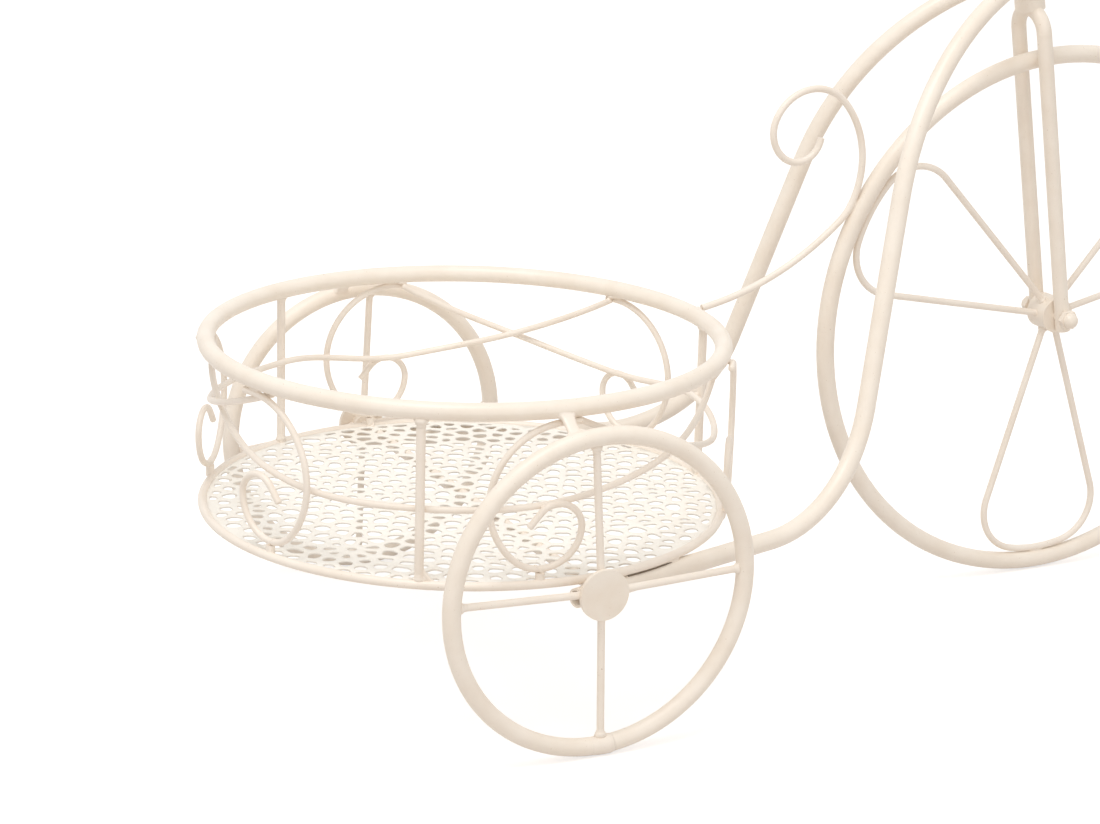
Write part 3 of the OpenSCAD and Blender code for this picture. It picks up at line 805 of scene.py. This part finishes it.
WELD_REACH = 0.7 * MM
WELD_ROUGH_SCALE = 900
SINK = 0.985
COLLAR_FLARE = 0.36
COLLAR_HEIGHT = 1.5
COLLAR_CURVE = 2.6
COLLAR_FULL = 10
COLLAR_LEVELS = 7
COLLAR_SIDES = 18
COLLAR_OVER = 1.02
COLLAR_LEAST = 0.75
COLLAR_VARY = 0.5
COLLAR_VARY_SCALE = 30
COLLAR_ROUGH = 0.12
BEAD_RINGS = 8
BEAD_SIDES = 16
BEAD_RUN = 2.6
BEAD_SHORT = 0.9
BEAD_WIDE = 0.78
BEAD_CROSSED = 0.35
BEAD_THICK = 0.62
BEAD_ROUGH = 0.14
BEAD_ROUGH_SCALE = 700
END_ON = 0.7
END_THICKER = 1.3
THROUGH = 0.3


def contacts(one, two):
    """Where two wires touch: (index on one, index on two, steps in touch) for each place."""
    a, ra, _ = one
    b, rb, _ = two
    pa, pb = np.array(a), np.array(b)
    limit = ra + rb + WELD_REACH
    if (pa.min(0) - limit > pb.max(0)).any() or (pb.min(0) - limit > pa.max(0)).any():
        return []
    gaps = np.linalg.norm(pa[:, None] - pb[None], axis=2)
    nearest = gaps.min(1)
    close = nearest < limit
    found = []
    start = None
    for i in range(len(close) + 1):
        inside = i < len(close) and close[i]
        if inside and start is None:
            start = i
        elif not inside and start is not None:
            best = start + int(nearest[start:i].argmin())
            found.append((best, int(gaps[best].argmin()), i - start))
            start = None
    return found


def rough(p, size):
    return size * noise.noise(p * WELD_ROUGH_SCALE)


def collar_into(bm, points, end, radius, base):
    """A fillet round a wire's end, flaring down onto the wire or tube that it meets."""
    b_points, b_radius, _ = base
    b = np.array(b_points)
    step = 1 if end == 0 else -1
    i = end
    while 0 <= i < len(points) and np.linalg.norm(b - np.array(points[i]), axis=1).min() < b_radius:
        i += step
    foot = points[i]
    axis = (points[i + 3 * step] - foot).normalized()
    side = axis.orthogonal().normalized()
    other = axis.cross(side)
    length = sum((q - p).length for p, q in zip(points, points[1:]))
    varied = COLLAR_LEAST + COLLAR_VARY * noise.noise(foot * COLLAR_VARY_SCALE)
    share = min(1.0, length / (COLLAR_FULL * radius)) * varied
    flare = COLLAR_FLARE * min(2 * radius, b_radius) * share
    height = COLLAR_HEIGHT * radius * share
    sides = COLLAR_SIDES
    last = COLLAR_LEVELS - 1
    rows = []
    for level in range(COLLAR_LEVELS):
        s = 1 - level / last
        row = []
        for k in range(sides):
            a = 2 * math.pi * k / sides
            out = radius * COLLAR_OVER + flare * (1 - s) ** COLLAR_CURVE
            p = foot + axis * height * s + out * (math.cos(a) * side + math.sin(a) * other)
            near = Vector(b[np.linalg.norm(b - np.array(p), axis=1).argmin()])
            if (p - near).length < b_radius or level == last:
                p = near + (p - near).normalized() * (b_radius * SINK)
            row.append(p + (p - foot).normalized() * rough(p, COLLAR_ROUGH * radius) * (1 - s))
        rows.append([bm.verts.new(here(p)) for p in row])
    for a_row, b_row in zip(rows, rows[1:]):
        band_into(bm, a_row, b_row)
    bm.faces.new(list(reversed(rows[0])))
    bm.faces.new(rows[-1])


def bead_into(bm, middle, along, across, length, width, height):
    """A smooth blob of weld: half sizes along, across and out of the contact."""
    out = along.cross(across).normalized()
    sides = BEAD_SIDES
    rows = []
    for i in range(1, BEAD_RINGS):
        v = math.pi * i / BEAD_RINGS
        row = []
        for k in range(sides):
            a = 2 * math.pi * k / sides
            p = (middle + along * length * math.cos(v)
                 + math.sin(v) * (across * width * math.cos(a) + out * height * math.sin(a)))
            row.append(p + (p - middle) * (BEAD_ROUGH * noise.noise(p * BEAD_ROUGH_SCALE)))
        rows.append([bm.verts.new(here(p)) for p in row])
    start = bm.verts.new(here(middle + along * length))
    finish = bm.verts.new(here(middle - along * length))
    for a_row, b_row in zip(rows, rows[1:]):
        for k in range(sides):
            n = (k + 1) % sides
            bm.faces.new((a_row[k], b_row[k], b_row[n], a_row[n]))
    for k in range(sides):
        n = (k + 1) % sides
        bm.faces.new((start, rows[0][k], rows[0][n]))
        bm.faces.new((finish, rows[-1][n], rows[-1][k]))


def weld_pair(bm, one, two):
    """Welds two wires wherever they touch: a collar at an end, a bead along a side."""
    for (a, b) in ((one, two), (two, one)):
        points, radius, closed = a
        for end in () if closed else (0, len(points) - 1):
            gap = np.linalg.norm(np.array(b[0]) - np.array(points[end]), axis=1)
            near = int(gap.argmin())
            into = abs(tangent_at(points, end).dot(tangent_at(b[0], near))) < END_ON
            if gap[near] < b[1] and into and radius < END_THICKER * b[1]:
                collar_into(bm, points, end, radius, b)
                return
    for i, j, count in contacts(one, two):
        p, q = one[0][i], two[0][j]
        gap = q - p
        if gap.length < THROUGH * max(one[1], two[1]):
            continue
        normal = gap.normalized()
        middle = p + normal * (one[1] + (gap.length - one[1] - two[1]) / 2)
        t_one, t_two = tangent_at(one[0], i), tangent_at(two[0], j)
        if t_one.dot(t_two) < 0:
            t_two = -t_two
        along = (t_one + t_two).normalized()
        across = normal.cross(along).normalized()
        small = min(one[1], two[1])
        angle = math.acos(min(1.0, abs(t_one.dot(t_two))))
        run = min(count * WIRE_STEP / 2, BEAD_RUN * small)
        length = max(run, BEAD_SHORT * small)
        width = BEAD_WIDE * small + BEAD_CROSSED * small * math.sin(angle)
        bead_into(bm, middle, along, across, length, width, BEAD_THICK * small)


def welds():
    """A weld wherever two wires or tubes touch, in four groups."""
    groups = {
        "welds_basket": ("rim", "ring", "post", "swag", "scroll", "stub"),
        "welds_rear_wheels": ("axle", "boss", "wheel", "spoke"),
        "welds_frame": ("tube", "stay", "head"),
        "welds_front_wheel": ("hoop", "hub", "petal"),
    }
    meshes = {name: bmesh.new() for name in groups}
    names = sorted(LINES)

    def group_of(line):
        return next(g for g, kinds in groups.items() if line.split("_")[0] in kinds)

    order = list(groups)
    for i, one in enumerate(names):
        for two in names[i + 1:]:
            group = max(group_of(one), group_of(two), key=order.index)
            kinds = {one.split("_")[0], two.split("_")[0]}
            if kinds not in ({"axle", "boss"}, {"axle", "spoke"}, {"spoke"}):
                weld_pair(meshes[group], LINES[one], LINES[two])
    for name, bm in meshes.items():
        add_piece(name, mesh_from(name, bm), "painted_wire")


# Straps and corner welds

STRAP_THIN = 0.85
STRAP_SPREAD = 3.6 * MM
STRAP_SPREAD_T = 0.4
STRAP_CURVE = 2.4
STRAP_FADE = 5 * MM
STRAP_IN = 2.5 * MM
STRAP_FLAT = 1 * MM
STRAP_SQUARE = 0.65
STRAP_STEPS = 40
STRAP_SIDES = 28
STRAP_ROUGH = 0.08
STRAP_ROUGH_SCALE = 260
CORNER_UP = 9 * MM
CORNER_OUT = 7.5 * MM
CORNER_POSTS = (0, 2)
CORNER_LAYERS = ((1.0, 1.7 * MM), (0.6, 2.1 * MM), (0.3, 2.4 * MM))
CORNER_BOW = 1.7
CORNER_THIN = 0.35
CORNER_FAT = 0.65
CORNER_IN = 0.6 * MM
CORNER_DOWN = 0.8 * MM
CORNER_STEPS = 14
CORNER_SIDES = 12
# Painted shade line in the gap between the ring and the near frame tube: its span along X, gap, offset,
# thickness, sides and taper
SHADE_LINE_FROM = 36 * MM
SHADE_LINE_TO = 80 * MM
SHADE_LINE_GAP = 1.5 * MM
SHADE_LINE_OUT = 2.0 * MM
SHADE_LINE_THICK = 1.0 * MM
SHADE_LINE_SIDES = 10
SHADE_LINE_TAPER = 0.5
SEAM_DEG = -93
SEAM_STEP = 0.6 * MM
SEAM_SPAN = 9
SEAM_STEPS = 12
SEAM_SIDES = 28


def lifted(p, centre, radius):
    """A point kept from sinking deeper than just under a tube's skin."""
    out = p - centre
    return centre + out.normalized() * max(out.length, SINK * radius)


def strap_bar(side):
    """A soft flat bar from the rim down to a rear wheel, spread where it is welded."""
    x = AXLE_X - STRAP_BACK
    top = Vector((x, side * math.sqrt(RIM_R ** 2 - x ** 2), RIM_Z))
    foot = Vector((x, side * WHEEL_Y, AXLE_Z + math.sqrt(WHEEL_R ** 2 - STRAP_BACK ** 2)))
    hub = Vector((AXLE_X, side * WHEEL_Y, AXLE_Z))
    along = (foot - top).normalized()
    thick = along.cross(Vector((1, 0, 0))).normalized()
    start = RIM_TUBE / 2 - STRAP_IN
    length = (foot - top).length - start - WHEEL_TUBE / 2 + STRAP_IN
    rings = []
    for i in range(STRAP_STEPS + 1):
        t = i / STRAP_STEPS
        near = max(min(t, 1 - t) * length - STRAP_FLAT, 0)
        spread = STRAP_SPREAD * max(0, 1 - near / STRAP_FADE) ** STRAP_CURVE
        half_w = STRAP_W / 2 * (1 + (STRAP_THIN - 1) * t) + spread
        half_t = STRAP_T / 2 + STRAP_SPREAD_T * spread
        middle = top + along * (start + t * length)
        ring = []
        for k in range(STRAP_SIDES):
            a = 2 * math.pi * k / STRAP_SIDES
            c, d = math.cos(a), math.sin(a)
            p = (middle + Vector((math.copysign(abs(c) ** STRAP_SQUARE, c) * half_w, 0, 0))
                 + thick * (math.copysign(abs(d) ** STRAP_SQUARE, d) * half_t))
            p += (p - middle) * STRAP_ROUGH * noise.noise(p * STRAP_ROUGH_SCALE)
            flat = Vector((p.x, p.y, 0))
            p = lifted(p, flat.normalized() * RIM_R + Vector((0, 0, RIM_Z)), RIM_TUBE / 2)
            round_hub = Vector((p.x, hub.y, p.z)) - hub
            p = lifted(p, hub + round_hub.normalized() * WHEEL_R, WHEEL_TUBE / 2)
            ring.append(p)
        rings.append(ring)
    return rings


def straps():
    for side, name in ((1, "left"), (-1, "right")):
        bm = bmesh.new()
        skin_into(bm, strap_bar(side))
        add_piece(f"strap_{name}", mesh_from(f"strap_{name}", bm), "painted_wire", (f"wheel_strap_{name}",))


def corner_weld(bm, k):
    """A three-cornered weld between a post's foot and the ring."""
    for share, thick in CORNER_LAYERS:
        points, radii = [], []
        for i in range(CORNER_STEPS + 1):
            t = i / CORNER_STEPS
            out = POST_D / 2 - CORNER_IN + share * CORNER_OUT * t ** CORNER_BOW
            up = RING_WIRE / 2 - CORNER_DOWN + share * CORNER_UP * (1 - t) ** CORNER_BOW
            points.append(on_wall(post_angle(k) + math.degrees(out / POST_R), RING_Z + up, POST_R))
            radii.append(thick * (CORNER_THIN + CORNER_FAT * math.sin(math.pi * t)))
        skin_into(bm, sweep_rings(points, radii, CORNER_SIDES))


def wheel_seam(bm):
    """The step where the near wheel's tube is pushed into its other end."""
    points, radii = [], []
    for i in range(SEAM_STEPS + 1):
        t = i / SEAM_STEPS
        a = math.radians(SEAM_DEG + SEAM_SPAN * t)
        points.append(Vector((AXLE_X + WHEEL_R * math.cos(a), -WHEEL_Y, AXLE_Z + WHEEL_R * math.sin(a))))
        radii.append(WHEEL_TUBE / 2 + SEAM_STEP * min(1, 8 * (1 - t)) * min(1, 1.5 * t))
    skin_into(bm, sweep_rings(points, radii, SEAM_SIDES))


def painted_shade_line():
    """A dark line of painted shade, laid in the gap where the near frame tube passes under the ring."""
    points, radii = [], []
    for p in LINES["tube_-1"][0]:
        level = Vector((p.x, p.y, 0)).normalized()
        wire = level * RING_R + Vector((0, 0, RING_Z))
        gap = (p - wire).length - RING_WIRE / 2 - TUBE_D / 2
        if SHADE_LINE_FROM < p.x < SHADE_LINE_TO and gap < SHADE_LINE_GAP:
            down = (p - wire).normalized()
            out = (level - down * level.dot(down)).normalized()
            points.append(wire + down * (RING_WIRE + gap) / 2 + out * SHADE_LINE_OUT)
            t = (p.x - SHADE_LINE_FROM) / (SHADE_LINE_TO - SHADE_LINE_FROM)
            radii.append(SHADE_LINE_THICK / 2 * (1 - SHADE_LINE_TAPER * t ** 2))
    bm = bmesh.new()
    skin_into(bm, sweep_rings(points, radii, SHADE_LINE_SIDES))
    piece = add_piece("painted_shade_line", mesh_from("painted_shade_line", bm), "painted_tube")
    # Painted shade: dark brown paint that stands in for the shadow in the gap between ring and tube.
    shade_paint = paint("gap_shade_paint", srgb(138, 120, 100), srgb(92, 78, 64), 0.6, 0.3, 0.3)
    piece.material_slots[0].material = shade_paint


def small_welds():
    bm = bmesh.new()
    for k in CORNER_POSTS:
        corner_weld(bm, k)
    wheel_seam(bm)
    add_piece("small_welds", mesh_from("small_welds", bm), "painted_wire")


# Stage, light and camera

FLOOR_SIZE = 24
FLOOR_DROP = 0.5 * MM
FLOOR_GLOW = 0.6
FLOOR_COLOUR = (0.66, 0.625, 0.6, 1)
WORLD_LIGHT = 0.69
WORLD_TINT = (1.0, 0.985, 0.965, 1)
LAMP_AIM = (0, 0, 0.2)
KEY_PLACE = (-1.0, -0.6, 2.9)
KEY_SIZE = 1.6
KEY_WATTS = 34
FILL_PLACE = (-0.9, -2.9, 0.9)
FILL_SIZE = 2.0
FILL_WATTS = 8
CAMERA_AIM = (0.0462, -0.0389, 0.1820)
CAMERA_TURN = 26.578
CAMERA_DOWN = 16.816
CAMERA_ROLL = 1.604
CAMERA_AWAY = 2.0575
CAMERA_LENS = 99.365


def seen_rays(nodes, links):
    """1 for what the camera, a reflection or glass shows, and 0 for light."""
    path = nodes.new("ShaderNodeLightPath")
    first = nodes.new("ShaderNodeMath")
    first.operation = "MAXIMUM"
    links.new(path.outputs["Is Camera Ray"], first.inputs[0])
    links.new(path.outputs["Is Glossy Ray"], first.inputs[1])
    both = nodes.new("ShaderNodeMath")
    both.operation = "MAXIMUM"
    links.new(first.outputs[0], both.inputs[0])
    links.new(path.outputs["Is Transmission Ray"], both.inputs[1])
    return both.outputs[0]


def stage():
    """A white floor that keeps the stand's soft shadow."""
    mesh = bpy.data.meshes.new("floor")
    h = FLOOR_SIZE / 2
    z = -FLOOR_DROP
    mesh.from_pydata([(-h, -h, z), (h, -h, z), (h, h, z), (-h, h, z)], [], [(0, 1, 2, 3)])
    floor = bpy.data.objects.new("floor", mesh)
    bpy.context.scene.collection.objects.link(floor)
    material, nodes, links, shader = new_material("floor_white")
    shader.inputs["Base Color"].default_value = FLOOR_COLOUR
    shader.inputs["Roughness"].default_value = 0.9
    glow = nodes.new("ShaderNodeEmission")
    strength = nodes.new("ShaderNodeMath")
    strength.operation = "MULTIPLY"
    strength.inputs[1].default_value = FLOOR_GLOW
    links.new(seen_rays(nodes, links), strength.inputs[0])
    links.new(strength.outputs[0], glow.inputs["Strength"])
    both = nodes.new("ShaderNodeAddShader")
    links.new(shader.outputs["BSDF"], both.inputs[0])
    links.new(glow.outputs["Emission"], both.inputs[1])
    links.new(both.outputs["Shader"], nodes["Material Output"].inputs["Surface"])
    mesh.materials.append(material)


def surroundings():
    """Even white light all round, and a white background."""
    world = bpy.data.worlds.new("studio")
    bpy.context.scene.world = world
    world.use_nodes = True
    nodes, links = world.node_tree.nodes, world.node_tree.links
    light = nodes["Background"]
    light.inputs["Color"].default_value = WORLD_TINT
    light.inputs["Strength"].default_value = WORLD_LIGHT
    white = nodes.new("ShaderNodeBackground")
    white.inputs["Strength"].default_value = 1.0
    white.inputs["Color"].default_value = (1, 1, 1, 1)
    mix = nodes.new("ShaderNodeMixShader")
    links.new(seen_rays(nodes, links), mix.inputs["Fac"])
    links.new(light.outputs["Background"], mix.inputs[1])
    links.new(white.outputs["Background"], mix.inputs[2])
    links.new(mix.outputs["Shader"], nodes["World Output"].inputs["Surface"])


def soft_lamp(name, place, size, watts):
    data = bpy.data.lights.new(name, "AREA")
    data.shape = "DISK"
    data.size = size
    data.energy = watts
    lamp = bpy.data.objects.new(name, data)
    lamp.location = place
    lamp.rotation_euler = (Vector(LAMP_AIM) - Vector(place)).to_track_quat("-Z", "Y").to_euler()
    bpy.context.scene.collection.objects.link(lamp)


def camera():
    turn, down = math.radians(CAMERA_TURN), math.radians(CAMERA_DOWN)
    look = Vector((math.sin(turn) * math.cos(down), math.cos(turn) * math.cos(down), -math.sin(down)))
    data = bpy.data.cameras.new("camera")
    data.sensor_width = 36
    data.lens = CAMERA_LENS
    obj = bpy.data.objects.new("camera", data)
    obj.location = here(CAMERA_AIM) - look * CAMERA_AWAY
    level = look.to_track_quat("-Z", "Y")
    roll = Quaternion((0, 0, 1), math.radians(CAMERA_ROLL))
    obj.rotation_mode = "QUATERNION"
    obj.rotation_quaternion = level @ roll
    bpy.context.scene.collection.objects.link(obj)
    bpy.context.scene.camera = obj


camera()
finish_nodes()
round_wires()
pierced_floor()
welds()
straps()
small_welds()
painted_shade_line()
stage()
surroundings()
soft_lamp("key", KEY_PLACE, KEY_SIZE, KEY_WATTS)
soft_lamp("fill", FILL_PLACE, FILL_SIZE, FILL_WATTS)
bpy.context.scene.view_settings.view_transform = "Standard"
